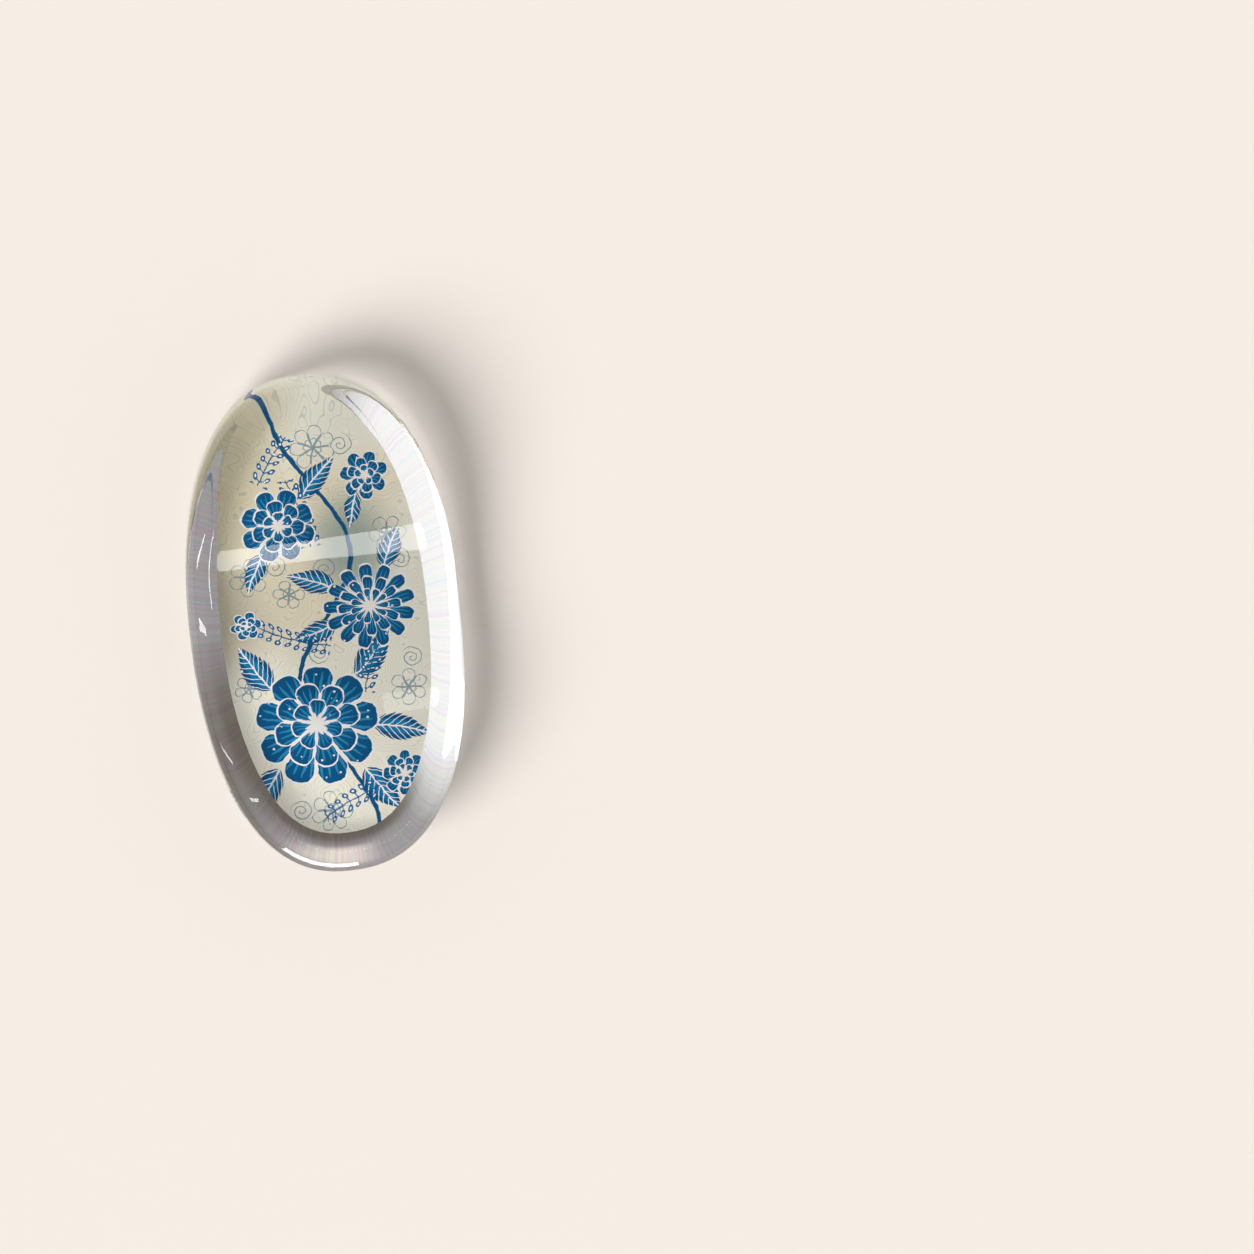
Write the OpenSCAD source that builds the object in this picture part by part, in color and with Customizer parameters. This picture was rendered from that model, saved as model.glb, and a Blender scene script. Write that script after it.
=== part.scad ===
// Chopstick rest: a clear oval of pressed glass with a saddle across its top,
// a printed picture sheet bonded under its ground base, and a protective backing.
// The long side lies along Y, the saddle runs across it along X, and the origin
// is the middle of the face that stands on the table.

/* [Glass] */
// Length of the glass at its widest line
glass_l = 53.1; // [44:0.1:62]
// Width of the glass at its widest line
glass_w = 28.4; // [24:0.2:34]
// Height from the ground base up to the lowest point of the saddle
saddle_h = 5.5; // [4.5:0.1:8]
// Height of the rounded shoulder, from the widest line up to the top face
shoulder_h = 2.4; // [1:0.1:3.5]
// How far the ground base stands in from the widest line
base_inset = 3.2; // [1.5:0.1:4]
// How far the shoulder rounds in from the widest line
shoulder_w = 3; // [1:0.1:5]
// Squareness of the outline, where 2 is an ellipse
outline_power = 2.34; // [2:0.02:3]
// Fullness of the curve from the ground base out to the widest line
flank_power = 3.2; // [1.6:0.1:4]
// Fullness of the curve from the widest line up to the top
shoulder_power = 2; // [1.6:0.1:3]

/* [Saddle] */
// Depth of the dip across the top, below the crests
saddle_dip = 1.8; // [0.6:0.1:3]
// Distance from the middle to each crest, along the length
saddle_reach = 18.5; // [12:0.5:21]
// How much the top falls from its centre line to the long sides
crown_drop = 0.3; // [0:0.05:0.8]

/* [Layers under the glass] */
// Thickness of the clear adhesive between the glass and the picture
clear_adhesive_t = 0.05; // [0.03:0.01:0.2]
// Thickness of the printed picture sheet
sheet_t = 0.15; // [0.08:0.01:0.4]
// Thickness of the adhesive between the picture and the backing
back_adhesive_t = 0.05; // [0.03:0.01:0.2]
// Thickness of the protective backing
backing_t = 0.45; // [0.3:0.05:1.5]
// How far the picture sheet stands in from the edge of the ground base
sheet_margin = 0.2; // [0.1:0.05:1]
// How far the adhesive stands in from the edge of the picture sheet
adhesive_margin = 0.1; // [0.05:0.05:0.5]
// How far the backing stands in from the edge of the ground base
backing_margin = 0.4; // [0.1:0.05:1.5]

/* [Smoothness] */
// Points round each outline
outline_steps = 72; // [48:8:96]
// Rings from the ground base to the widest line
flank_rings = 8; // [5:1:9]
// Rings from the widest line to the top
shoulder_rings = 8; // [5:1:10]
// Rings across the top, from the shoulder to the middle
top_rings = 8; // [5:1:10]

/* [Hidden] */

half_w = glass_w / 2;
half_l = glass_l / 2;

// Heights of the layers, each standing on the one below
back_adhesive_z = backing_t;
sheet_z = back_adhesive_z + back_adhesive_t;
clear_adhesive_z = sheet_z + sheet_t;
glass_z = clear_adhesive_z + clear_adhesive_t;

// A point of the oval whose widest line is drawn in by inset, at an angle round it
function outline_point(inset, angle) =
    let (c = cos(angle), s = sin(angle))
    let (reach = pow(pow(abs(c), outline_power) + pow(abs(s), outline_power), 1 / outline_power))
    [(half_w - inset) * c / reach, (half_l - inset) * s / reach];

function outline(inset) =
    [for (i = [0 : outline_steps - 1]) outline_point(inset, 360 * i / outline_steps)];

// Height of the top face above the ground base: two crests with the saddle between them
function top_height(p) =
    let (share = min(1, abs(p.y) / saddle_reach))
    saddle_h + saddle_dip * (1 - cos(180 * share)) / 2 - crown_drop * pow(p.x / half_w, 2);

// Height of the widest line, which rises and falls with the top face
function girth_height(p) = top_height(p) - shoulder_h;

// A ring is a list of points. Turn goes from 0 at the start of a curve to 90 at its end.
function flank_ring(turn) =
    let (inset = base_inset * (1 - pow(sin(turn), 2 / flank_power)))
    let (share = 1 - pow(cos(turn), 2 / flank_power))
    [for (p = outline(inset)) [p.x, p.y, girth_height(p) * share]];

function shoulder_ring(turn) =
    let (inset = shoulder_w * (1 - pow(cos(turn), 2 / shoulder_power)))
    let (share = pow(sin(turn), 2 / shoulder_power))
    [for (p = outline(inset)) [p.x, p.y, girth_height(p) + shoulder_h * share]];

function top_ring(size) =
    [for (p = outline(shoulder_w) * size) [p.x, p.y, top_height(p)]];

// Joins closed rings, lowest first, and fills the first and the last one
module loft(rings, crown_point) {
    count = len(rings);
    steps = len(rings[0]);
    points = concat([for (ring = rings) each ring], [crown_point]);
    function at(r, i) = r * steps + i % steps;
    base = [[for (i = [0 : steps - 1]) at(0, i)]];
    walls = [for (r = [0 : count - 2], i = [0 : steps - 1])
        each [[at(r, i), at(r + 1, i), at(r + 1, i + 1)], [at(r, i), at(r + 1, i + 1), at(r, i + 1)]]];
    crown = [for (i = [0 : steps - 1]) [at(count - 1, i), count * steps, at(count - 1, i + 1)]];
    polyhedron(points, concat(base, walls, crown));
}

// Pressed and polished glass. It is widest part way up, so that its flank shows as a
// clear band round the picture when it is seen from above.
module glass_body() {
    flank = [for (k = [0 : flank_rings]) flank_ring(90 * k / flank_rings)];
    shoulder = [for (k = [1 : shoulder_rings]) shoulder_ring(90 * k / shoulder_rings)];
    top = [for (k = [1 : top_rings - 1]) top_ring(1 - k / top_rings)];
    color("azure", 0.4)
        translate([0, 0, glass_z])
            loft(concat(flank, shoulder, top), [0, 0, top_height([0, 0])]);
}

// A flat layer with the outline of the ground base, drawn in by a margin
module layer(margin, z, thickness) {
    translate([0, 0, z])
        linear_extrude(thickness)
            polygon(outline(base_inset + margin));
}

module clear_adhesive() {
    color("whitesmoke", 0.5)
        layer(sheet_margin + adhesive_margin, clear_adhesive_z, clear_adhesive_t);
}

// Coated paper, printed on the face that looks up through the glass
module picture_sheet() {
    color([0.87, 0.84, 0.72])
        layer(sheet_margin, sheet_z, sheet_t);
}

module back_adhesive() {
    color("whitesmoke", 0.5)
        layer(sheet_margin + adhesive_margin, back_adhesive_z, back_adhesive_t);
}

// White film that seals the paper and stands on the table
module backing() {
    color("white")
        layer(backing_margin, 0, backing_t);
}

glass_body();
clear_adhesive();
picture_sheet();
back_adhesive();
backing();
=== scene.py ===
import math

import bpy
from mathutils import Matrix, Vector


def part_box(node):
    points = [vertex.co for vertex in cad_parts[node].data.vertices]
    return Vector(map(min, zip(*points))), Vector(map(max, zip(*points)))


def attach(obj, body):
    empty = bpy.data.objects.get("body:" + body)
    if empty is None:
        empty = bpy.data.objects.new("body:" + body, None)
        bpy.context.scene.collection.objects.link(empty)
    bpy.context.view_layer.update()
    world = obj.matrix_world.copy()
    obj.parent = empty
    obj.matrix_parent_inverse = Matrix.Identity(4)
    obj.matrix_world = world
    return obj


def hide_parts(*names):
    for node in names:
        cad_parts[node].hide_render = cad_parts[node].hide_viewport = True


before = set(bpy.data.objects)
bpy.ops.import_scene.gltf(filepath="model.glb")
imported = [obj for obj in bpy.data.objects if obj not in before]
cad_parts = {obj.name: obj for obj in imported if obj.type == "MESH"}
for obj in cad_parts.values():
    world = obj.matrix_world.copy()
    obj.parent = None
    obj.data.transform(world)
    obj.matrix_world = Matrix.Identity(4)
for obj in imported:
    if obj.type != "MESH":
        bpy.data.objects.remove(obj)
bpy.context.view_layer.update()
mm = 0.001
glassLow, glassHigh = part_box("glass_body")
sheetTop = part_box("picture_sheet")[1].z
print("frame loaded:", sorted(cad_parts))


# Camera. The photograph looks down on the rest, from a little to its upper left.
photoCamera = {
    "framePixels": 1254,
    "objectPixel": (326.7, 624.4),   # middle of the oval's widest line
    "pixelsPerMm": 9.6,
    "lean": -7.5,                    # degrees that the oval leans, its far end to the left
    "tilt": (-14.0, -9.5),           # degrees about the picture's own across and up
    "lens": 150,
    "sensor": 36,
    "girthHeight": 4.6,              # mm from the table to the widest line
}


def turnOf(about, degrees):
    return Matrix.Rotation(math.radians(degrees), 3, about)


def addCamera(view):
    middle = view["framePixels"] / 2
    frameWidth = view["framePixels"] / view["pixelsPerMm"] * mm
    across = (middle - view["objectPixel"][0]) / view["pixelsPerMm"] * mm
    up = (view["objectPixel"][1] - middle) / view["pixelsPerMm"] * mm
    tiltX, tiltY = view["tilt"]
    turn = turnOf("Z", view["lean"]) @ turnOf("X", tiltX) @ turnOf("Y", tiltY)
    distance = frameWidth * view["lens"] / view["sensor"]
    lens = bpy.data.cameras.new("photo camera")
    lens.lens = view["lens"]
    lens.sensor_width = view["sensor"]
    camera = bpy.data.objects.new("photo camera", lens)
    bpy.context.scene.collection.objects.link(camera)
    girth = Vector((0, 0, view["girthHeight"] * mm))
    camera.location = girth + turn @ Vector((across, up, distance))
    camera.rotation_mode = "QUATERNION"
    camera.rotation_quaternion = turn.to_quaternion()
    bpy.context.scene.camera = camera
    return camera


camera = addCamera(photoCamera)
print("camera placed")


# Node helpers. A value is either a plain number or another node's socket.
def feed(tree, socket, value):
    if isinstance(value, bpy.types.NodeSocket):
        tree.links.new(value, socket)
    else:
        socket.default_value = value


def calc(tree, operation, *values):
    node = tree.nodes.new("ShaderNodeMath")
    node.operation = operation
    for socket, value in zip(node.inputs, values):
        feed(tree, socket, value)
    return node.outputs[0]


def inverse(tree, value):
    return calc(tree, "SUBTRACT", 1.0, value)


def lengthOf(tree, x, y):
    return calc(tree, "SQRT", calc(tree, "ADD", calc(tree, "MULTIPLY", x, x), calc(tree, "MULTIPLY", y, y)))


def towards(tree, x, y, side):
    # how far a place lies in one direction
    return calc(tree, "ADD", calc(tree, "MULTIPLY", x, side[0]), calc(tree, "MULTIPLY", y, side[1]))


def fade(tree, value, start, end):
    node = tree.nodes.new("ShaderNodeMapRange")     # 0 before start, 1 past end, soft between
    node.interpolation_type = "SMOOTHSTEP"
    feed(tree, node.inputs["Value"], value)
    feed(tree, node.inputs["From Min"], start)
    feed(tree, node.inputs["From Max"], end)
    return node.outputs["Result"]


def blendColour(tree, share, first, second, way="MIX"):
    node = tree.nodes.new("ShaderNodeMix")
    node.data_type = "RGBA"
    node.blend_type = way
    feed(tree, node.inputs[0], share)
    feed(tree, node.inputs[6], first)       # inputs 6 and 7 and output 2 are the ones for colours
    feed(tree, node.inputs[7], second)
    return node.outputs[2]


def blendValue(tree, share, first, second):
    node = tree.nodes.new("ShaderNodeMix")
    feed(tree, node.inputs[0], share)
    feed(tree, node.inputs[2], first)
    feed(tree, node.inputs[3], second)
    return node.outputs[0]


def noise(tree, vector, scale, detail=2.0, kind="Fac"):
    node = tree.nodes.new("ShaderNodeTexNoise")
    feed(tree, node.inputs["Vector"], vector)
    feed(tree, node.inputs["Scale"], scale)
    feed(tree, node.inputs["Detail"], detail)
    return node.outputs[kind]


def vectorCalc(tree, operation, *values):
    node = tree.nodes.new("ShaderNodeVectorMath")
    node.operation = operation
    for socket, value in zip(node.inputs, values):
        feed(tree, socket, value)
    return node.outputs[0]


def combine(tree, x, y, z=0.0):
    node = tree.nodes.new("ShaderNodeCombineXYZ")
    for socket, value in zip(node.inputs, (x, y, z)):
        feed(tree, socket, value)
    return node.outputs[0]


def split(tree, vector):
    node = tree.nodes.new("ShaderNodeSeparateXYZ")
    feed(tree, node.inputs[0], vector)
    return node.outputs


def millimetres(tree):
    place = tree.nodes.new("ShaderNodeTexCoord")
    node = tree.nodes.new("ShaderNodeMapping")      # object coordinates, counted in millimetres
    node.vector_type = "POINT"
    feed(tree, node.inputs["Vector"], place.outputs["Object"])
    node.inputs["Scale"].default_value = (1 / mm,) * 3
    return node.outputs[0]


def newGroup(name, inputs, outputs):
    group = bpy.data.node_groups.new(name, "ShaderNodeTree")
    for title, value in inputs.items():
        kind = "NodeSocketVector" if value is None else "NodeSocketFloat"
        socket = group.interface.new_socket(title, in_out="INPUT", socket_type=kind)
        if value is not None:
            socket.default_value = value
    for title in outputs:
        group.interface.new_socket(title, in_out="OUTPUT", socket_type="NodeSocketFloat")
    start = group.nodes.new("NodeGroupInput")
    end = group.nodes.new("NodeGroupOutput")
    return group, start.outputs, end.inputs


def useGroup(tree, group, **values):
    node = tree.nodes.new("ShaderNodeGroup")
    node.node_tree = group
    for title, value in values.items():
        feed(tree, node.inputs[title], value)
    return node.outputs


def newMaterial(name, roughness):
    material = bpy.data.materials.new(name)
    material.use_nodes = True
    shader = material.node_tree.nodes["Principled BSDF"]
    shader.inputs["Roughness"].default_value = roughness
    return material, material.node_tree, shader


def dress(obj, material):
    obj.data.materials.clear()
    obj.data.materials.append(material)


# Print groups. Each draws one motif and gives Cover, where it has ink, and Tone, how dark the ink is.
# Lengths are in mm on the sheet, and tones run from 0 for white to 1 for the deepest blue.
petalInk = {
    "strokeTurn": 7.0,         # radians of the stroke wave from a petal's middle to its side
    "strokeEdge": 0.12,        # how far a stroke's wave stands over its reach
    "strokeTone": 0.62,
    "lineTone": 0.12,
}
leafInk = {
    "bellyPower": 0.75,        # under 1 puts the widest place nearer the foot
    "veinSlant": 1.1,
    "veinsPerMm": 1.35,
    "veinShare": 0.16,         # of the way from one vein to the next
    "teeth": (0.86, 0.22),     # share of the width between the teeth, and what they add
    "midrib": 0.09,
    "heartShare": 0.55,        # share of the width that is paler, along the midrib
    "heartTone": 0.7,
    "lineTone": 0.2,
}
sprigInk = {
    "stem": 0.07,
    "stalkLean": 0.5,
    "stalk": 0.06,
    "stalkLength": 0.7,
    "berryOff": 0.72,          # from the stem to a berry's middle
    "shineShare": 0.4,
    "tone": 0.9,
    "shineTone": 0.1,
}


def fromFoot(group, given):
    # a place on the sheet, counted from the motif's own foot or middle
    x, y = split(group, given["Vector"])[:2]
    return calc(group, "SUBTRACT", x, given["X"]), calc(group, "SUBTRACT", y, given["Y"])


def bentStem(group, given):
    # the middle line of a leaf or sprig: the distance along it, the distance off it,
    # a mask that is 1 from its foot to its tip, and the share of its length
    x, y = fromFoot(group, given)
    cosine = calc(group, "COSINE", given["Angle"])
    sine = calc(group, "SINE", given["Angle"])
    along = towards(group, x, y, (cosine, sine))
    across = calc(group, "SUBTRACT", calc(group, "MULTIPLY", y, cosine), calc(group, "MULTIPLY", x, sine))
    share = calc(group, "DIVIDE", along, given["Length"])
    bow = calc(group, "MULTIPLY", given["Bend"], calc(group, "MULTIPLY", share, share))
    off = calc(group, "ABSOLUTE", calc(group, "SUBTRACT", across, bow))
    pastFoot = calc(group, "GREATER_THAN", share, 0.0)
    beforeTip = calc(group, "LESS_THAN", share, 1.0)
    return along, off, calc(group, "MULTIPLY", pastFoot, beforeTip), share


def petalRingGroup():
    group, given, result = newGroup(
        "petal ring",
        {"Vector": None, "Radius": 5.0, "Petals": 8.0, "Turn": 0.0, "Notch": 0.3, "Tip": 3.0, "Line": 0.12},
        ("Cover", "Tone"))
    x, y = split(group, given["Vector"])[:2]
    angle = calc(group, "ADD", calc(group, "ARCTAN2", y, x), given["Turn"])
    length = lengthOf(group, x, y)
    reach = calc(group, "DIVIDE", length, given["Radius"])
    turns = calc(group, "MULTIPLY", calc(group, "DIVIDE", angle, 2 * math.pi), given["Petals"])
    side = calc(group, "SUBTRACT", calc(group, "FRACT", turns), 0.5)
    off = calc(group, "MULTIPLY", calc(group, "ABSOLUTE", side), 2.0)     # 0 on a petal's middle, 1 between petals
    dent = calc(group, "MULTIPLY", calc(group, "POWER", off, given["Tip"]), given["Notch"])
    edge = inverse(group, dent)
    # a thin pale line runs inside each petal's edge and between neighbours
    inner = calc(group, "MULTIPLY", calc(group, "SUBTRACT", edge, reach), given["Radius"])
    rim = calc(group, "LESS_THAN", inner, given["Line"])
    gapWidth = calc(group, "MULTIPLY", inverse(group, off), length)
    gapLine = calc(group, "MULTIPLY", given["Line"], calc(group, "DIVIDE", given["Petals"], math.pi))
    line = calc(group, "MAXIMUM", rim, calc(group, "LESS_THAN", gapWidth, gapLine))
    # lighter brush strokes fan out from the base of each petal
    wave = calc(group, "SINE", calc(group, "MULTIPLY", off, petalInk["strokeTurn"]))
    over = calc(group, "SUBTRACT", calc(group, "ABSOLUTE", wave), reach)
    stroke = calc(group, "GREATER_THAN", over, petalInk["strokeEdge"])
    tone = blendValue(group, stroke, 1.0, petalInk["strokeTone"])
    feed(group, result["Cover"], calc(group, "LESS_THAN", reach, edge))
    feed(group, result["Tone"], blendValue(group, line, tone, petalInk["lineTone"]))
    return group


def leafGroup():
    group, given, result = newGroup(
        "leaf",
        {"Vector": None, "X": 0.0, "Y": 0.0, "Angle": 0.0, "Length": 5.0, "Width": 1.2, "Bend": 0.0},
        ("Cover", "Tone"))
    along, off, inside, share = bentStem(group, given)
    swell = calc(group, "POWER", calc(group, "MAXIMUM", share, 0.0), leafInk["bellyPower"])
    belly = calc(group, "SINE", calc(group, "MULTIPLY", swell, math.pi))
    slant = calc(group, "SUBTRACT", along, calc(group, "MULTIPLY", off, leafInk["veinSlant"]))
    veinStep = calc(group, "FRACT", calc(group, "MULTIPLY", slant, leafInk["veinsPerMm"]))
    between, tooth = leafInk["teeth"]
    toothed = calc(group, "ADD", between, calc(group, "MULTIPLY", veinStep, tooth))
    half = calc(group, "MULTIPLY", calc(group, "MULTIPLY", belly, given["Width"]), toothed)
    midrib = calc(group, "LESS_THAN", off, leafInk["midrib"])
    veins = calc(group, "LESS_THAN", veinStep, leafInk["veinShare"])
    heart = calc(group, "LESS_THAN", off, calc(group, "MULTIPLY", half, leafInk["heartShare"]))
    tone = blendValue(group, heart, 1.0, leafInk["heartTone"])
    tone = blendValue(group, calc(group, "MAXIMUM", midrib, veins), tone, leafInk["lineTone"])
    feed(group, result["Cover"], calc(group, "MULTIPLY", inside, calc(group, "LESS_THAN", off, half)))
    feed(group, result["Tone"], tone)
    return group


def scrollGroup():
    group, given, result = newGroup(
        "scroll line",
        {"Vector": None, "X": 0.0, "Y": 0.0, "Radius": 2.0, "Pitch": 0.8, "Turn": 0.0, "Line": 0.11},
        ("Cover",))
    x, y = fromFoot(group, given)
    length = lengthOf(group, x, y)
    angle = calc(group, "ADD", calc(group, "ARCTAN2", y, x), given["Turn"])
    turns = calc(group, "DIVIDE", angle, 2 * math.pi)
    coil = calc(group, "FRACT", calc(group, "SUBTRACT", calc(group, "DIVIDE", length, given["Pitch"]), turns))
    away = calc(group, "MULTIPLY", calc(group, "ABSOLUTE", calc(group, "SUBTRACT", coil, 0.5)), given["Pitch"])
    line = calc(group, "LESS_THAN", away, calc(group, "MULTIPLY", given["Line"], 0.5))
    within = calc(group, "LESS_THAN", length, given["Radius"])
    feed(group, result["Cover"], calc(group, "MULTIPLY", line, within))
    return group


def sprigGroup():
    group, given, result = newGroup(
        "berry sprig",
        {"Vector": None, "X": 0.0, "Y": 0.0, "Angle": 0.0, "Length": 6.0, "Bend": 0.0, "Berry": 0.3, "Pitch": 0.95},
        ("Cover", "Tone"))
    along, off, inside = bentStem(group, given)[:3]
    stem = calc(group, "LESS_THAN", off, sprigInk["stem"])
    # berries stand in pairs, one pair at each pitch, on short stalks that lean forwards
    lean = calc(group, "SUBTRACT", along, calc(group, "MULTIPLY", off, sprigInk["stalkLean"]))
    cell = calc(group, "SUBTRACT", calc(group, "FRACT", calc(group, "DIVIDE", lean, given["Pitch"])), 0.5)
    step = calc(group, "MULTIPLY", cell, given["Pitch"])
    fromBerry = lengthOf(group, step, calc(group, "SUBTRACT", off, sprigInk["berryOff"]))
    berry = calc(group, "LESS_THAN", fromBerry, given["Berry"])
    thin = calc(group, "LESS_THAN", calc(group, "ABSOLUTE", step), sprigInk["stalk"])
    stalk = calc(group, "MULTIPLY", thin, calc(group, "LESS_THAN", off, sprigInk["stalkLength"]))
    shine = calc(group, "LESS_THAN", fromBerry, calc(group, "MULTIPLY", given["Berry"], sprigInk["shineShare"]))
    drawn = calc(group, "MAXIMUM", calc(group, "MAXIMUM", stem, stalk), berry)
    feed(group, result["Cover"], calc(group, "MULTIPLY", drawn, inside))
    feed(group, result["Tone"], blendValue(group, shine, sprigInk["tone"], sprigInk["shineTone"]))
    return group


petalRing = petalRingGroup()
leafShape = leafGroup()
scrollShape = scrollGroup()
sprigShape = sprigGroup()


# Picture sheet. A flower print in indigo and mid blue on cream, of this model's own design.
picture = {
    "roughness": 0.55,
    "deepBlue": (0.002, 0.1, 0.26, 1),
    "midBlue": (0.006, 0.23, 0.5, 1),
    "lightBlue": (0.09, 0.45, 0.7, 1),
    "white": (0.96, 0.95, 0.9, 1),
    "cream": (0.97, 0.94, 0.79, 1),
    "sand": (0.97, 0.88, 0.64, 1),
    "olive": (0.68, 0.61, 0.4, 1),
    "moss": (0.4, 0.36, 0.24, 1),
    "teal": (0.15, 0.28, 0.27, 1),
    "lineBlue": (0.1, 0.25, 0.33, 1),
    "inkSteps": (0.2, 0.42, 0.68),   # tones that print white, light blue and mid blue, with deep blue at 1
    "wobble": 0.5,             # mm that the cut lines wander
    "wobbleScale": 0.8,
    "wobbleDetail": 3.0,
    "branch": {"sway": 3.4, "bends": 0.21, "half": 0.24},    # mm to each side, radians per mm, half its width
    "blooms": [                # x, y, radius, petals, turn, notch, tip
        (-2.0, -11.4, 6.6, 9, 0.3, 0.26, 3.0),
        (4.8, 1.0, 4.9, 13, 0.1, 0.62, 4.0),
        (-3.8, 11.0, 4.0, 8, 0.8, 0.3, 3.0),
        (5.6, 15.2, 2.6, 7, 0.2, 0.4, 2.5),
        (6.6, -17.6, 2.4, 8, 0.5, 0.35, 3.0),
        (-8.2, 0.4, 1.7, 6, 0.4, 0.4, 2.5),
    ],
    "ringShares": (1.0, 0.7, 0.42),      # a bloom's rings of petals, as shares of its radius
    "ringTurn": 0.7,                     # radians from one ring to the next
    "petalLine": (0.1, 0.02),            # mm wide, and more by this share of the ring's radius
    "heart": {"share": 0.2, "petals": 11, "notch": 0.5, "tip": 1.5, "line": 0.07},
    "outlines": [              # as blooms, for blossoms drawn in line alone
        (-7.4, 5.8, 2.1, 6, 0.2, 0.34, 2.5),
        (0.6, 18.6, 2.4, 7, 0.9, 0.34, 2.5),
        (7.4, 8.8, 2.0, 6, 0.5, 0.34, 2.5),
        (8.0, -8.6, 2.0, 6, 0.1, 0.34, 2.5),
        (-1.4, -20.6, 2.2, 7, 0.6, 0.34, 2.5),
        (-3.4, 3.4, 1.7, 6, 0.7, 0.34, 2.5),
        (-8.6, -6.6, 1.5, 6, 0.3, 0.34, 2.5),
    ],
    "outlineShares": (1.0, 0.42),
    "outlineLine": 0.11,
    "outlineTone": 0.3,                  # tones under this are a petal's line
    "leaves": [                # x, y, degrees, length, width, bend
        (2.6, -6.6, 42, 6.2, 1.5, 0.9),
        (-6.2, -7.0, 128, 6.0, 1.5, -0.8),
        (-6.4, -15.6, 232, 5.4, 1.4, 0.6),
        (2.6, -16.6, -62, 5.6, 1.5, 0.7),
        (3.8, -12.2, -8, 6.2, 1.4, -0.8),
        (1.4, 3.4, 148, 5.4, 1.3, 0.8),
        (1.2, -0.4, 205, 5.0, 1.2, -0.6),
        (6.6, 5.0, 72, 5.0, 1.2, -0.5),
        (-5.6, 8.2, 236, 4.6, 1.1, 0.6),
        (-1.2, 13.6, 52, 5.4, 1.2, -0.7),
        (4.6, 13.6, 248, 3.8, 0.9, 0.4),
    ],
    "scrolls": [               # x, y, radius, pitch
        (-4.6, 6.6, 1.3, 0.6),
        (3.4, 18.6, 1.2, 0.55),
        (8.4, 5.8, 1.2, 0.55),
        (8.6, -5.4, 1.2, 0.55),
        (-4.6, -20.2, 1.2, 0.55),
        (0.6, 5.8, 1.3, 0.6),
        (-1.0, -3.6, 1.2, 0.55),
    ],
    "sprigs": [                # x, y, degrees, length, bend of a stem with berries on both sides
        (-0.6, 8.4, 96, 7.4, 1.2),
        (0.4, -3.0, 168, 8.2, -1.6),
        (3.4, -8.6, 78, 6.0, -1.0),
        (-5.4, 15.4, 62, 5.6, -0.8),
        (3.8, -18.6, 196, 6.4, 0.9),
    ],
    "dots": {"scale": 0.9, "size": 0.12, "onTone": 0.8},     # they lie only on ink darker than onTone
    "grain": {"scale": 0.16, "lines": 46.0, "width": 0.13, "strength": 0.26},
    "lineStrength": 0.75,
    "washSlope": 0.42,                   # mm that the washes' edges lean to the right per mm up the sheet
    "sandIn": (-6.0, 2.0),               # mm up the sheet over which the sand comes in
    "sandOut": (14.0, 20.0),             # and goes out
    "sandEdge": (0.0, 7.0),              # mm right of the slope over which it goes out
    "oliveEdge": (-14.5, -8.0),
    "patches": [               # ink, x, y, half width, half length, strength
        # a darker patch over the left middle of the sheet
        ("moss", -11.5, 1.5, 7.0, 9.5, 0.9),
        ("teal", 3.5, 8.0, 5.5, 7.5, 0.75),
    ],
    "patchFade": (0.2, 1.1),
    "mottle": {"scale": 3.0, "detail": 4.0, "strength": 0.16},
}


def moved(tree, vector, x, y):
    return vectorCalc(tree, "SUBTRACT", vector, (x, y, 0))


def overprint(tree, tone, cover, drawn):
    # lays one motif over what is printed already
    return blendValue(tree, drawn["Cover"], tone, drawn["Tone"]), calc(tree, "MAXIMUM", cover, drawn["Cover"])


def drawBloom(tree, vector, tone, cover, bloom):
    x, y, radius, petals, turn, notch, tip = bloom
    local = moved(tree, vector, x, y)
    line, lineShare = picture["petalLine"]
    for level, share in enumerate(picture["ringShares"]):
        ring = useGroup(tree, petalRing, Vector=local, Radius=radius * share, Petals=petals - level,
                        Turn=turn + level * picture["ringTurn"], Notch=notch, Tip=tip,
                        Line=line + lineShare * radius * share)
        tone, cover = overprint(tree, tone, cover, ring)
    # the heart is a ring of pale dots round a light disc, and lies wholly on the petals
    heart = picture["heart"]
    ring = useGroup(tree, petalRing, Vector=local, Radius=radius * heart["share"], Petals=heart["petals"],
                    Turn=turn, Notch=heart["notch"], Tip=heart["tip"], Line=radius * heart["line"])
    return blendValue(tree, ring["Cover"], tone, ring["Tone"]), cover


def ovalReach(tree, vector, x, y, width, length):
    # 0 in the middle of an oval, 1 on its edge
    px, py = split(tree, moved(tree, vector, x, y))[:2]
    return lengthOf(tree, calc(tree, "DIVIDE", px, width), calc(tree, "DIVIDE", py, length))


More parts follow.
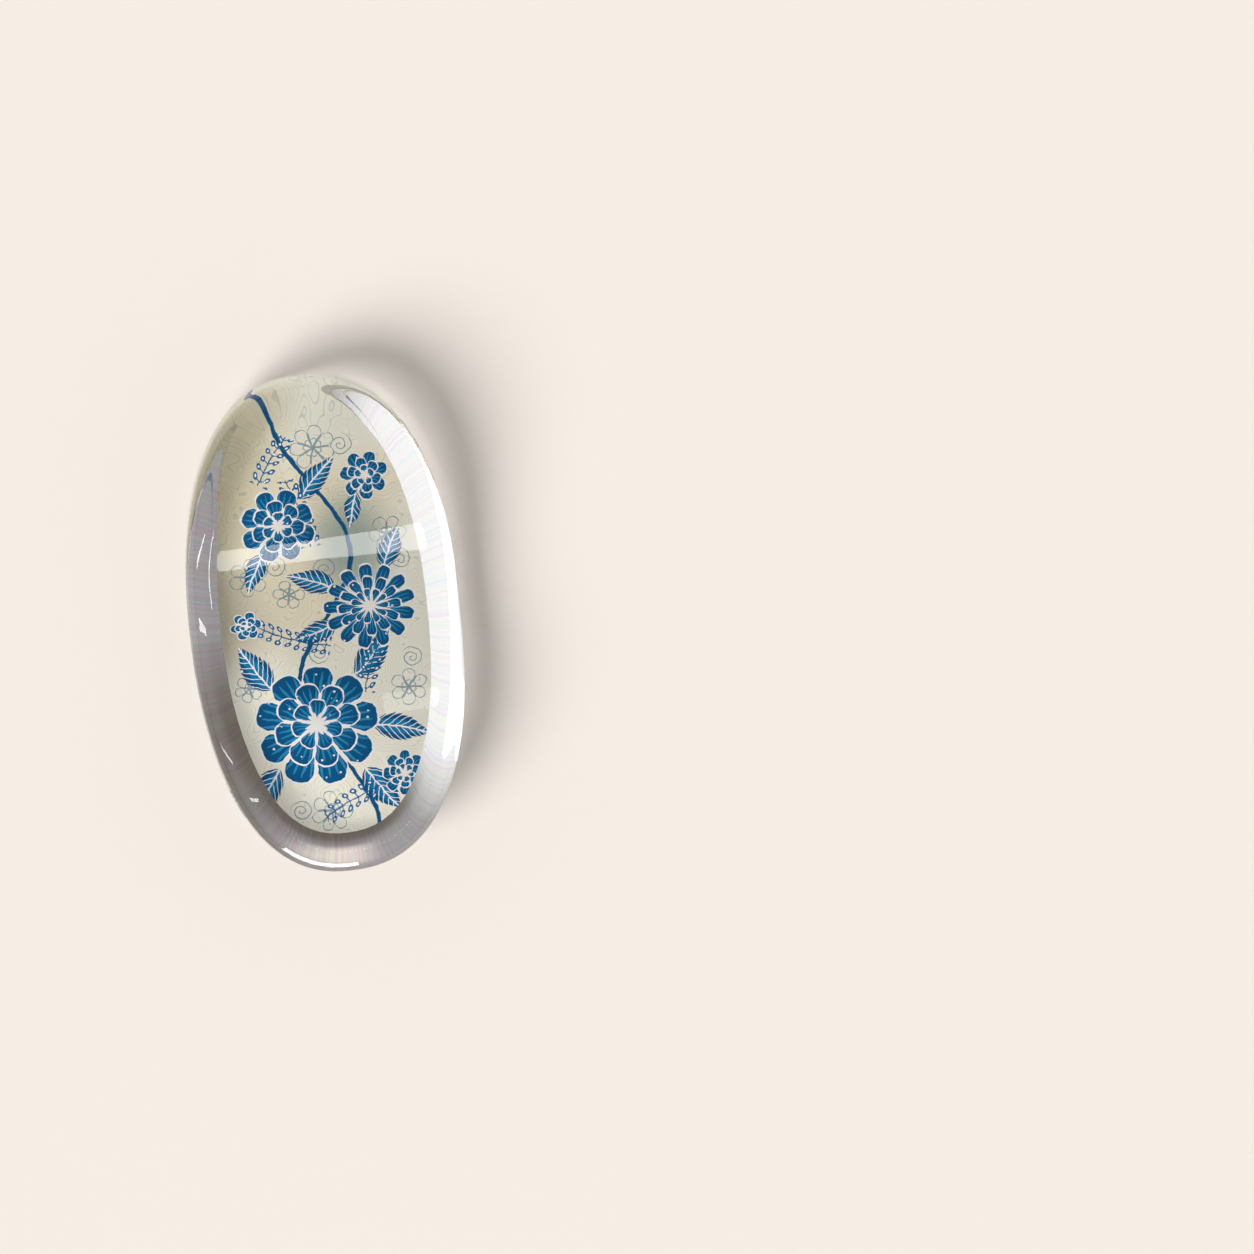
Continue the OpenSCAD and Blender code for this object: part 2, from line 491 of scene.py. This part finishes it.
def motifs(tree, hand, place):
    # the inked motifs, with branch and leaves first, so that the blooms lie on top
    branch = picture["branch"]
    x, y = split(tree, hand)[:2]
    sway = calc(tree, "MULTIPLY", calc(tree, "SINE", calc(tree, "MULTIPLY", y, branch["bends"])), branch["sway"])
    cover = calc(tree, "LESS_THAN", calc(tree, "ABSOLUTE", calc(tree, "SUBTRACT", x, sway)), branch["half"])
    tone = cover
    for lx, ly, degrees, length, width, bend in picture["leaves"]:
        leaf = useGroup(tree, leafShape, Vector=hand, X=lx, Y=ly, Angle=math.radians(degrees),
                        Length=length, Width=width, Bend=bend)
        tone, cover = overprint(tree, tone, cover, leaf)
    for sx, sy, degrees, length, bend in picture["sprigs"]:
        sprig = useGroup(tree, sprigShape, Vector=hand, X=sx, Y=sy, Angle=math.radians(degrees),
                         Length=length, Bend=bend)
        tone, cover = overprint(tree, tone, cover, sprig)
    for bloom in picture["blooms"]:
        tone, cover = drawBloom(tree, hand, tone, cover, bloom)
    # small white dots lie sprinkled over the dark ink
    dots = tree.nodes.new("ShaderNodeTexVoronoi")
    feed(tree, dots.inputs["Vector"], place)
    dots.inputs["Scale"].default_value = picture["dots"]["scale"]
    dot = calc(tree, "LESS_THAN", dots.outputs["Distance"], picture["dots"]["size"])
    onInk = calc(tree, "MULTIPLY", dot, calc(tree, "GREATER_THAN", tone, picture["dots"]["onTone"]))
    return blendValue(tree, onInk, tone, 0.0), cover


def fineLines(tree, hand):
    # scrolls and blossoms drawn in line, behind the motifs
    lines = 0.0
    for sx, sy, radius, pitch in picture["scrolls"]:
        scroll = useGroup(tree, scrollShape, Vector=hand, X=sx, Y=sy, Radius=radius, Pitch=pitch, Turn=sx)
        lines = calc(tree, "MAXIMUM", lines, scroll["Cover"])
    for ox, oy, radius, petals, turn, notch, tip in picture["outlines"]:
        local = moved(tree, hand, ox, oy)
        for share in picture["outlineShares"]:
            ring = useGroup(tree, petalRing, Vector=local, Radius=radius * share, Petals=petals, Turn=turn,
                            Notch=notch, Tip=tip, Line=picture["outlineLine"])
            onLine = calc(tree, "LESS_THAN", ring["Tone"], picture["outlineTone"])
            inked = calc(tree, "MULTIPLY", ring["Cover"], onLine)
            lines = blendValue(tree, ring["Cover"], lines, inked)
    return lines


def washes(tree, place):
    # sand over the far half and olive to its left, teal towards the middle, and a darker moss-coloured patch over
    # the left middle
    px, py = split(tree, place)[:2]
    slope = calc(tree, "SUBTRACT", px, calc(tree, "MULTIPLY", py, picture["washSlope"]))
    sand = calc(tree, "SUBTRACT", fade(tree, py, *picture["sandIn"]), fade(tree, py, *picture["sandOut"]))
    sand = calc(tree, "MULTIPLY", sand, inverse(tree, fade(tree, slope, *picture["sandEdge"])))
    ground = blendColour(tree, sand, picture["cream"], picture["sand"])
    olive = inverse(tree, fade(tree, slope, *picture["oliveEdge"]))
    ground = blendColour(tree, olive, ground, picture["olive"])
    for ink, x, y, width, length, strength in picture["patches"]:
        outside = fade(tree, ovalReach(tree, place, x, y, width, length), *picture["patchFade"])
        patch = calc(tree, "MULTIPLY", inverse(tree, outside), strength)
        ground = blendColour(tree, patch, ground, picture[ink])
    mottle = picture["mottle"]
    speckle = calc(tree, "MULTIPLY", noise(tree, place, mottle["scale"], mottle["detail"]), mottle["strength"])
    return blendColour(tree, speckle, ground, picture["white"])


def pictureMaterial():
    material, tree, shader = newMaterial("printed sheet", picture["roughness"])
    shader.inputs["Specular IOR Level"].default_value = 0      # bonded to the glass, with no air over it
    place = millimetres(tree)
    # cut lines wander a little, as in a hand cut block
    wander = noise(tree, place, picture["wobbleScale"], picture["wobbleDetail"], "Color")
    drift = vectorCalc(tree, "MULTIPLY_ADD", wander, (picture["wobble"],) * 3, place)
    hand = vectorCalc(tree, "SUBTRACT", drift, (picture["wobble"] / 2,) * 3)
    tone, cover = motifs(tree, hand, place)

    grain = picture["grain"]
    rings = calc(tree, "FRACT", calc(tree, "MULTIPLY", noise(tree, place, grain["scale"]), grain["lines"]))
    grainLine = calc(tree, "LESS_THAN", rings, grain["width"])
    ground = washes(tree, place)
    grainShare = calc(tree, "MULTIPLY", grainLine, grain["strength"])
    ground = blendColour(tree, grainShare, ground, picture["lineBlue"])
    lineShare = calc(tree, "MULTIPLY", fineLines(tree, hand), picture["lineStrength"])
    ground = blendColour(tree, lineShare, ground, picture["lineBlue"])

    whiteStep, lightStep, midStep = picture["inkSteps"]
    ramp = tree.nodes.new("ShaderNodeValToRGB")
    ramp.color_ramp.elements[0].color = picture["white"]
    ramp.color_ramp.elements[0].position = whiteStep
    ramp.color_ramp.elements[1].color = picture["deepBlue"]
    ramp.color_ramp.elements.new(lightStep).color = picture["lightBlue"]
    ramp.color_ramp.elements.new(midStep).color = picture["midBlue"]
    feed(tree, ramp.inputs[0], tone)
    feed(tree, shader.inputs["Base Color"], blendColour(tree, cover, ground, ramp.outputs[0]))
    return material


dress(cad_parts["picture_sheet"], pictureMaterial())
print("picture sheet printed")


# Backing and its adhesive: satin white film under a clear film
backingFilm = {
    "light": (0.86, 0.85, 0.83, 1),
    "dark": (0.79, 0.78, 0.75, 1),
    "mottle": (4.0, 4.0),      # scale and detail
    "roughness": 0.5,
    "grain": (6.0, 3.0),
    "grainDepth": 0.02,        # mm
    "grainStrength": 0.4,
}
adhesiveFilm = {
    "light": (0.8, 0.79, 0.74, 1),
    "dark": (0.7, 0.69, 0.64, 1),
    "mottle": (2.0, 3.0),
    "roughness": 0.25,
}


def filmMaterial(name, film):
    material, tree, shader = newMaterial(name, film["roughness"])
    place = millimetres(tree)
    colour = blendColour(tree, noise(tree, place, *film["mottle"]), film["light"], film["dark"])
    feed(tree, shader.inputs["Base Color"], colour)
    if "grain" in film:
        bump = tree.nodes.new("ShaderNodeBump")
        bump.inputs["Distance"].default_value = film["grainDepth"] * mm
        bump.inputs["Strength"].default_value = film["grainStrength"]
        feed(tree, bump.inputs["Height"], noise(tree, place, *film["grain"]))
        feed(tree, shader.inputs["Normal"], bump.outputs[0])
    return material


dress(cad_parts["backing"], filmMaterial("white backing", backingFilm))
dress(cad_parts["back_adhesive"], filmMaterial("clear adhesive", adhesiveFilm))
print("backing finished")


# Glass body, with the clear adhesive under it as one clear block, so that no air shows over the picture.
# Its lengths are in mm.
glassShape = {
    "outlinePower": 2.34,
    "baseInset": 3.2,
    "saddleHeight": 5.5,       # from the ground base to the lowest point of the saddle
    "flankPower": 3.2,
    "shoulderWidth": 3.0,
    "shoulderHeight": 2.4,
    "shoulderPower": 2.0,
    "saddleDip": 1.8,
    "saddleReach": 18.5,
    "crownDrop": 0.3,
    "sink": 0.02,              # how far the block takes in the picture's upper face
    "outlinePoints": 256,
    "flankRings": 30,
    "shoulderRings": 24,
    "smoothAngle": 35,         # degrees under which neighbouring faces are shaded as one
    "halvings": 40,            # steps in the search for how far a place stands in
}


def topHeight(x, y, shape=glassShape):
    # height of the top face above the ground base, for a place in millimetres
    share = min(1.0, abs(y) / shape["saddleReach"])
    rise = shape["saddleDip"] * (1 - math.cos(math.pi * share)) / 2
    drop = shape["crownDrop"] * (x * mm / glassHigh.x) ** 2
    return shape["saddleHeight"] + rise - drop


def insetOf(x, y, shape=glassShape):
    # how far a place in millimetres stands in from the widest line
    power = shape["outlinePower"]
    low, high = 0.0, glassHigh.x / mm
    for step in range(shape["halvings"]):
        middle = (low + high) / 2
        width, length = glassHigh.x / mm - middle, glassHigh.y / mm - middle
        reach = (abs(x) / width) ** power + (abs(y) / length) ** power
        low, high = (middle, high) if reach < 1 else (low, middle)
    return low


def upperHeight(x, y, shape=glassShape):
    # height of the upper side, shoulder and all
    side = max(0.0, 1 - insetOf(x, y) / shape["shoulderWidth"])
    across = side ** (shape["shoulderPower"] / 2)
    share = (1 - across * across) ** (1 / shape["shoulderPower"])
    return topHeight(x, y) - shape["shoulderHeight"] * (1 - share)


def glassRings(shape, startZ, baseZ, girth):
    # each ring is how far it stands in from the widest line, and its height
    baseInset = shape["baseInset"] * mm
    rings = [(baseInset, startZ), (baseInset, baseZ)]
    for step in range(1, shape["flankRings"] + 1):
        turn = math.pi / 2 * step / shape["flankRings"]
        inset = baseInset * (1 - math.sin(turn) ** (2 / shape["flankPower"]))
        share = 1 - abs(math.cos(turn)) ** (2 / shape["flankPower"])
        rings.append((inset, baseZ + (girth - baseZ) * share))
    for step in range(1, shape["shoulderRings"] + 1):
        turn = math.pi / 2 * step / shape["shoulderRings"]
        inset = shape["shoulderWidth"] * mm * (1 - abs(math.cos(turn)) ** (2 / shape["shoulderPower"]))
        share = math.sin(turn) ** (2 / shape["shoulderPower"])
        rings.append((inset, girth + shape["shoulderHeight"] * mm * share))
    return rings


def addGlass(shape):
    halfWidth, halfLength, baseZ = glassHigh.x, glassHigh.y, glassLow.z
    power = shape["outlinePower"]
    saddle = baseZ + topHeight(0, 0) * mm
    girth = saddle - shape["shoulderHeight"] * mm
    startZ = sheetTop - shape["sink"] * mm
    rings = glassRings(shape, startZ, baseZ, girth)

    bpy.ops.object.select_all(action="DESELECT")
    bpy.ops.mesh.primitive_circle_add(vertices=shape["outlinePoints"], radius=1, fill_type="NOTHING")
    glass = bpy.context.object
    glass.name = "clear_glass"
    for vertex in glass.data.vertices:
        x, y = vertex.co.x, vertex.co.y
        reach = (abs(x) ** power + abs(y) ** power) ** (1 / power)
        vertex.co = ((halfWidth - rings[0][0]) * x / reach, (halfLength - rings[0][0]) * y / reach, startZ)
    bpy.ops.object.mode_set(mode="EDIT")
    bpy.ops.mesh.select_mode(type="EDGE")
    bpy.ops.mesh.select_all(action="SELECT")
    bpy.ops.mesh.edge_face_add()
    for (lastInset, lastZ), (inset, z) in zip(rings, rings[1:]):
        bpy.ops.mesh.extrude_edges_move(TRANSFORM_OT_translate={"value": (0, 0, z - lastZ)})
        grow = ((halfWidth - inset) / (halfWidth - lastInset), (halfLength - inset) / (halfLength - lastInset), 1)
        bpy.ops.transform.resize(value=grow, center_override=(0, 0, z))
    bpy.ops.mesh.fill_grid(span=shape["outlinePoints"] // 4)
    bpy.ops.object.mode_set(mode="OBJECT")

    # the saddle and its crests: the shoulder rises with the top face, and the flank stretches to follow
    for vertex in glass.data.vertices:
        share = min(1, (vertex.co.z - baseZ) / (girth - baseZ))
        if share > 0:
            top = baseZ + topHeight(vertex.co.x / mm, vertex.co.y / mm) * mm
            vertex.co.z += (top - saddle) * share

    bpy.ops.object.mode_set(mode="EDIT")
    bpy.ops.mesh.select_all(action="SELECT")
    bpy.ops.mesh.normals_make_consistent(inside=False)
    bpy.ops.object.mode_set(mode="OBJECT")
    bpy.ops.object.shade_smooth_by_angle(angle=math.radians(shape["smoothAngle"]))
    return glass


ovalHalf = (12.0, 24.0)        # mm that make the oval a circle, for directions from its middle


def outwardOf(tree, x, y):
    # which way a place lies from the middle, with the oval taken as a circle
    place = combine(tree, calc(tree, "DIVIDE", x, ovalHalf[0]), calc(tree, "DIVIDE", y, ovalHalf[1]))
    return split(tree, vectorCalc(tree, "NORMALIZE", place))[:2]


glassFinish = {
    "ior": 1.52,
    # painted shade and light: the flank is lavender grey for the shaded table seen through it, and paler where
    # gathered light falls
    "flank": (0.84, 0.85, 0.94, 1),
    "litFlankTint": (0.985, 0.98, 1, 1),
    "paleSide": (0.8, 0.6),        # direction of the painted light, in which the flank is palest
    "paleFrom": (-0.5, 0.6),       # how far towards it the painted light comes in
    # the streaks are painted dispersion colour
    "streakScale": 60.0,
    "streakDetail": 4.0,
    "streakStrength": 0.45,
    "fadeHeights": (3.4, 4.6),     # mm over which the painted tint fades out on the way up
}


def glassMaterial(finish):
    material, tree, shader = newMaterial("clear pressed glass", roughness=0.0)
    shader.inputs["Transmission Weight"].default_value = 1.0
    shader.inputs["IOR"].default_value = finish["ior"]
    x, y, z = split(tree, millimetres(tree))
    ox, oy = outwardOf(tree, x, y)
    # painted shade and light low on the flank: a lavender-grey tint, paler on the lit side, with fine pastel
    # streaks of painted dispersion colour that run outwards and fade out below the shoulder
    streaks = noise(tree, combine(tree, ox, oy), finish["streakScale"], finish["streakDetail"], "Color")
    paleLight = fade(tree, towards(tree, ox, oy, finish["paleSide"]), *finish["paleFrom"])
    shadeAndLightTint = blendColour(tree, paleLight, finish["flank"], finish["litFlankTint"])
    pastel = blendColour(tree, finish["streakStrength"], shadeAndLightTint, streaks, "LINEAR_LIGHT")
    below = inverse(tree, fade(tree, z, *finish["fadeHeights"]))
    feed(tree, shader.inputs["Base Color"], blendColour(tree, below, (1, 1, 1, 1), pastel))
    return material


glass = addGlass(glassShape)
dress(glass, glassMaterial(glassFinish))
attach(glass, "root")
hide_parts("glass_body", "clear_adhesive")
print("glass formed:", len(glass.data.polygons), "faces")


# Table top, pale and plain
tableTop = {
    "size": 4,                         # metres
    "drop": 0.02,                      # mm under the rest, so that the two faces don't meet
    "colour": (0.913, 0.847, 0.783, 1),
    "roughness": 0.9,
    "gloss": 0.1,
}


def addFloor(values):
    bpy.ops.object.select_all(action="DESELECT")
    bpy.ops.mesh.primitive_plane_add(size=values["size"], location=(0, 0, -values["drop"] * mm))
    floor = bpy.context.object
    floor.name = "table_top"
    material, tree, shader = newMaterial("pale table", values["roughness"])
    shader.inputs["Base Color"].default_value = values["colour"]
    shader.inputs["Specular IOR Level"].default_value = values["gloss"]
    dress(floor, material)


# Glowing card on the table under the flank, which only shows through the glass. Its emission paints the
# light and shade seen there, and stands for the light that the glass gathers: painted light white on the
# right, painted shade grey on the left, painted contact shade brown beside the print on the near side, and
# painted pale light outside the brown at the near end. A side is a direction from the middle, and a From
# is how far towards it the colour comes in.
lightCard = {
    "height": 0.12,                    # mm above the table
    "margin": 3.0,                     # mm past the widest line
    "points": 128,
    # the grey is painted shade, the white painted light, the brown painted contact shade and the last colour
    # painted pale light
    "shadeGrey": (0.36, 0.335, 0.33, 1),
    "white": (1.0, 0.99, 0.98, 1),
    "whiteSide": (0.98, 0.18),
    "whiteFrom": (0.3, 0.75),
    "shadeBrown": (0.16, 0.135, 0.11, 1),
    "brownSide": (-0.39, -0.92),
    "brownFrom": (0.3, 0.8),
    "brownReach": (0.4, 1.6),          # mm from the ground base's edge over which the painted brown shade fades
    "paleLight": (0.95, 0.84, 0.72, 1),
    "paleSide": (-0.33, -0.94),
    "paleFrom": (0.8, 0.97),
    "paleReach": (1.25, 1.8),          # mm from the ground base's edge over which it comes in
}


def baseReach(tree, x, y):
    # 1 on the edge of the ground base, more outside it
    power = glassShape["outlinePower"]
    width, length = (size / mm - glassShape["baseInset"] for size in (glassHigh.x, glassHigh.y))
    across = calc(tree, "POWER", calc(tree, "DIVIDE", calc(tree, "ABSOLUTE", x), width), power)
    along = calc(tree, "POWER", calc(tree, "DIVIDE", calc(tree, "ABSOLUTE", y), length), power)
    return calc(tree, "POWER", calc(tree, "ADD", across, along), 1 / power)


def cardMaterial(values):
    material, tree, shader = newMaterial("light card", roughness=1.0)
    shader.inputs["Base Color"].default_value = (0, 0, 0, 1)
    shader.inputs["Specular IOR Level"].default_value = 0
    x, y = split(tree, millimetres(tree))[:2]
    ox, oy = outwardOf(tree, x, y)
    pastShare = inverse(tree, calc(tree, "DIVIDE", 1.0, baseReach(tree, x, y)))
    past = calc(tree, "MULTIPLY", lengthOf(tree, x, y), pastShare)     # mm outside the ground base's edge
    # white paints the gathered light on the right, grey and brown paint shade, and the last colour paints pale
    # light at the near end
    white = fade(tree, towards(tree, ox, oy, values["whiteSide"]), *values["whiteFrom"])
    colour = blendColour(tree, white, values["shadeGrey"], values["white"])
    shadeBrown = fade(tree, towards(tree, ox, oy, values["brownSide"]), *values["brownFrom"])
    shadeBrown = calc(tree, "MULTIPLY", shadeBrown, inverse(tree, fade(tree, past, *values["brownReach"])))
    colour = blendColour(tree, shadeBrown, colour, values["shadeBrown"])
    paleLight = fade(tree, towards(tree, ox, oy, values["paleSide"]), *values["paleFrom"])
    paleLight = calc(tree, "MULTIPLY", paleLight, fade(tree, past, *values["paleReach"]))
    feed(tree, shader.inputs["Emission Color"], blendColour(tree, paleLight, colour, values["paleLight"]))
    shader.inputs["Emission Strength"].default_value = 1.0
    return material


def addCard(values):
    bpy.ops.object.select_all(action="DESELECT")
    bpy.ops.mesh.primitive_circle_add(vertices=values["points"], radius=1, fill_type="NGON",
                                      location=(0, 0, values["height"] * mm))
    card = bpy.context.object
    card.name = "light_card"
    card.scale = (glassHigh.x + values["margin"] * mm, glassHigh.y + values["margin"] * mm, 1)
    bpy.ops.object.transform_apply(location=False, rotation=False, scale=True)
    dress(card, cardMaterial(values))
    card.visible_camera = False
    card.visible_diffuse = False
    card.visible_glossy = False
    card.visible_shadow = False


addFloor(tableTop)
addCard(lightCard)
print("table and card laid")


# Light: a soft sun from the lower left, an even sky, and strip lights that only show as reflections
studio = {
    "sunFrom": (206, 36),          # azimuth and elevation in degrees
    "sunEnergy": 3.34,
    "sunAngle": 36,
    "sunColour": (1, 0.99, 0.985),
    "skyDark": (0.11, 0.11, 0.11, 1),      # at the horizon and overhead, where the rim and the top mirror it
    "skyBright": (0.62, 0.61, 0.6, 1),
    "skyRise": (0.02, 0.25),               # sines of the elevations between which it turns bright
    "skyFall": (0.55, 0.95),               # and dark again
    "skyBelow": (-0.05, 0.0),              # under the table it is bright, for views of the underside
    # spot on the glass in mm, distance in mm, size across and along the rim at the spot in mm, radiance.
    # Without a rim the first size lies parallel to the saddle.
    "strips": [
        {"spot": (0, 9.25), "distance": 300, "size": (130, 3.2), "radiance": 6, "rim": None},
        {"spot": (10.6, -9.25), "distance": 300, "size": (38, 2.2), "radiance": 2.2, "rim": None},
        {"spot": (-12.3, 10), "distance": 300, "size": (130, 8), "radiance": 12, "rim": (0, 1)},      # left
        {"spot": (13.2, -5.5), "distance": 300, "size": (90, 6), "radiance": 12, "rim": (0, 1)},      # right
        {"spot": (-9.7, -17), "distance": 300, "size": (130, 9), "radiance": 12, "rim": (0.4, -1)},   # near left
        {"spot": (-4.2, -25), "distance": 150, "size": (130, 110), "radiance": 12, "rim": (1, 0)},    # near end
    ],
    "slopeStep": 0.01,             # mm over which the slope at a spot is measured
}


def direction(azimuth, elevation):
    a, e = math.radians(azimuth), math.radians(elevation)
    return Vector((math.cos(a) * math.cos(e), math.sin(a) * math.cos(e), math.sin(e)))


def addSun():
    light = bpy.data.lights.new("soft sun", "SUN")
    light.energy = studio["sunEnergy"]
    light.angle = math.radians(studio["sunAngle"])
    light.color = studio["sunColour"]
    sun = bpy.data.objects.new("soft sun", light)
    bpy.context.scene.collection.objects.link(sun)
    sun.rotation_mode = "QUATERNION"
    sun.rotation_quaternion = direction(*studio["sunFrom"]).to_track_quat("Z", "Y")
    sun.visible_glossy = False         # the strips are the highlights instead


def mirrored(spot):
    # where the camera looks by way of a spot on the top of the glass
    step = studio["slopeStep"]
    x, y = spot
    slopeX = (upperHeight(x + step, y) - upperHeight(x - step, y)) / (2 * step)
    slopeY = (upperHeight(x, y + step) - upperHeight(x, y - step)) / (2 * step)
    point = Vector((x, y, upperHeight(x, y))) * mm + Vector((0, 0, glassLow.z))
    normal = Vector((-slopeX, -slopeY, 1)).normalized()
    view = (camera.location - point).normalized()
    return point, 2 * normal.dot(view) * normal - view


def addStrip(number, strip):
    point, away = mirrored(strip["spot"])
    width, height = (size * mm for size in strip["size"])
    light = bpy.data.lights.new("strip %d" % number, "AREA")
    light.shape = "RECTANGLE"
    light.size = width
    light.size_y = height
    light.energy = strip["radiance"] * math.pi * width * height
    lamp = bpy.data.objects.new("strip %d" % number, light)
    bpy.context.scene.collection.objects.link(lamp)
    lamp.location = point + away * strip["distance"] * mm
    if strip["rim"]:
        back = away
        across = Vector((*strip["rim"], 0)).cross(back).normalized()
    else:
        back = Vector((0, away.y, away.z)).normalized()
        across = Vector((1, 0, 0))
    lamp.rotation_mode = "QUATERNION"
    lamp.rotation_quaternion = Matrix((across, back.cross(across), back)).transposed().to_quaternion()
    lamp.visible_camera = False
    lamp.visible_diffuse = False
    lamp.visible_transmission = False
    print("strip", number, "stands at", [round(v, 3) for v in lamp.location])


def addSky():
    world = bpy.data.worlds.new("even sky")
    world.use_nodes = True
    tree = world.node_tree
    place = tree.nodes.new("ShaderNodeTexCoord")
    height = split(tree, place.outputs["Generated"])[2]
    above = calc(tree, "SUBTRACT", fade(tree, height, *studio["skyRise"]), fade(tree, height, *studio["skyFall"]))
    bright = calc(tree, "ADD", above, inverse(tree, fade(tree, height, *studio["skyBelow"])))
    colour = blendColour(tree, bright, studio["skyDark"], studio["skyBright"])
    feed(tree, tree.nodes["Background"].inputs["Color"], colour)
    bpy.context.scene.world = world


addSun()
addSky()
for number, strip in enumerate(studio["strips"], 1):
    addStrip(number, strip)
bpy.context.scene.view_settings.view_transform = "Standard"
print("lights set")
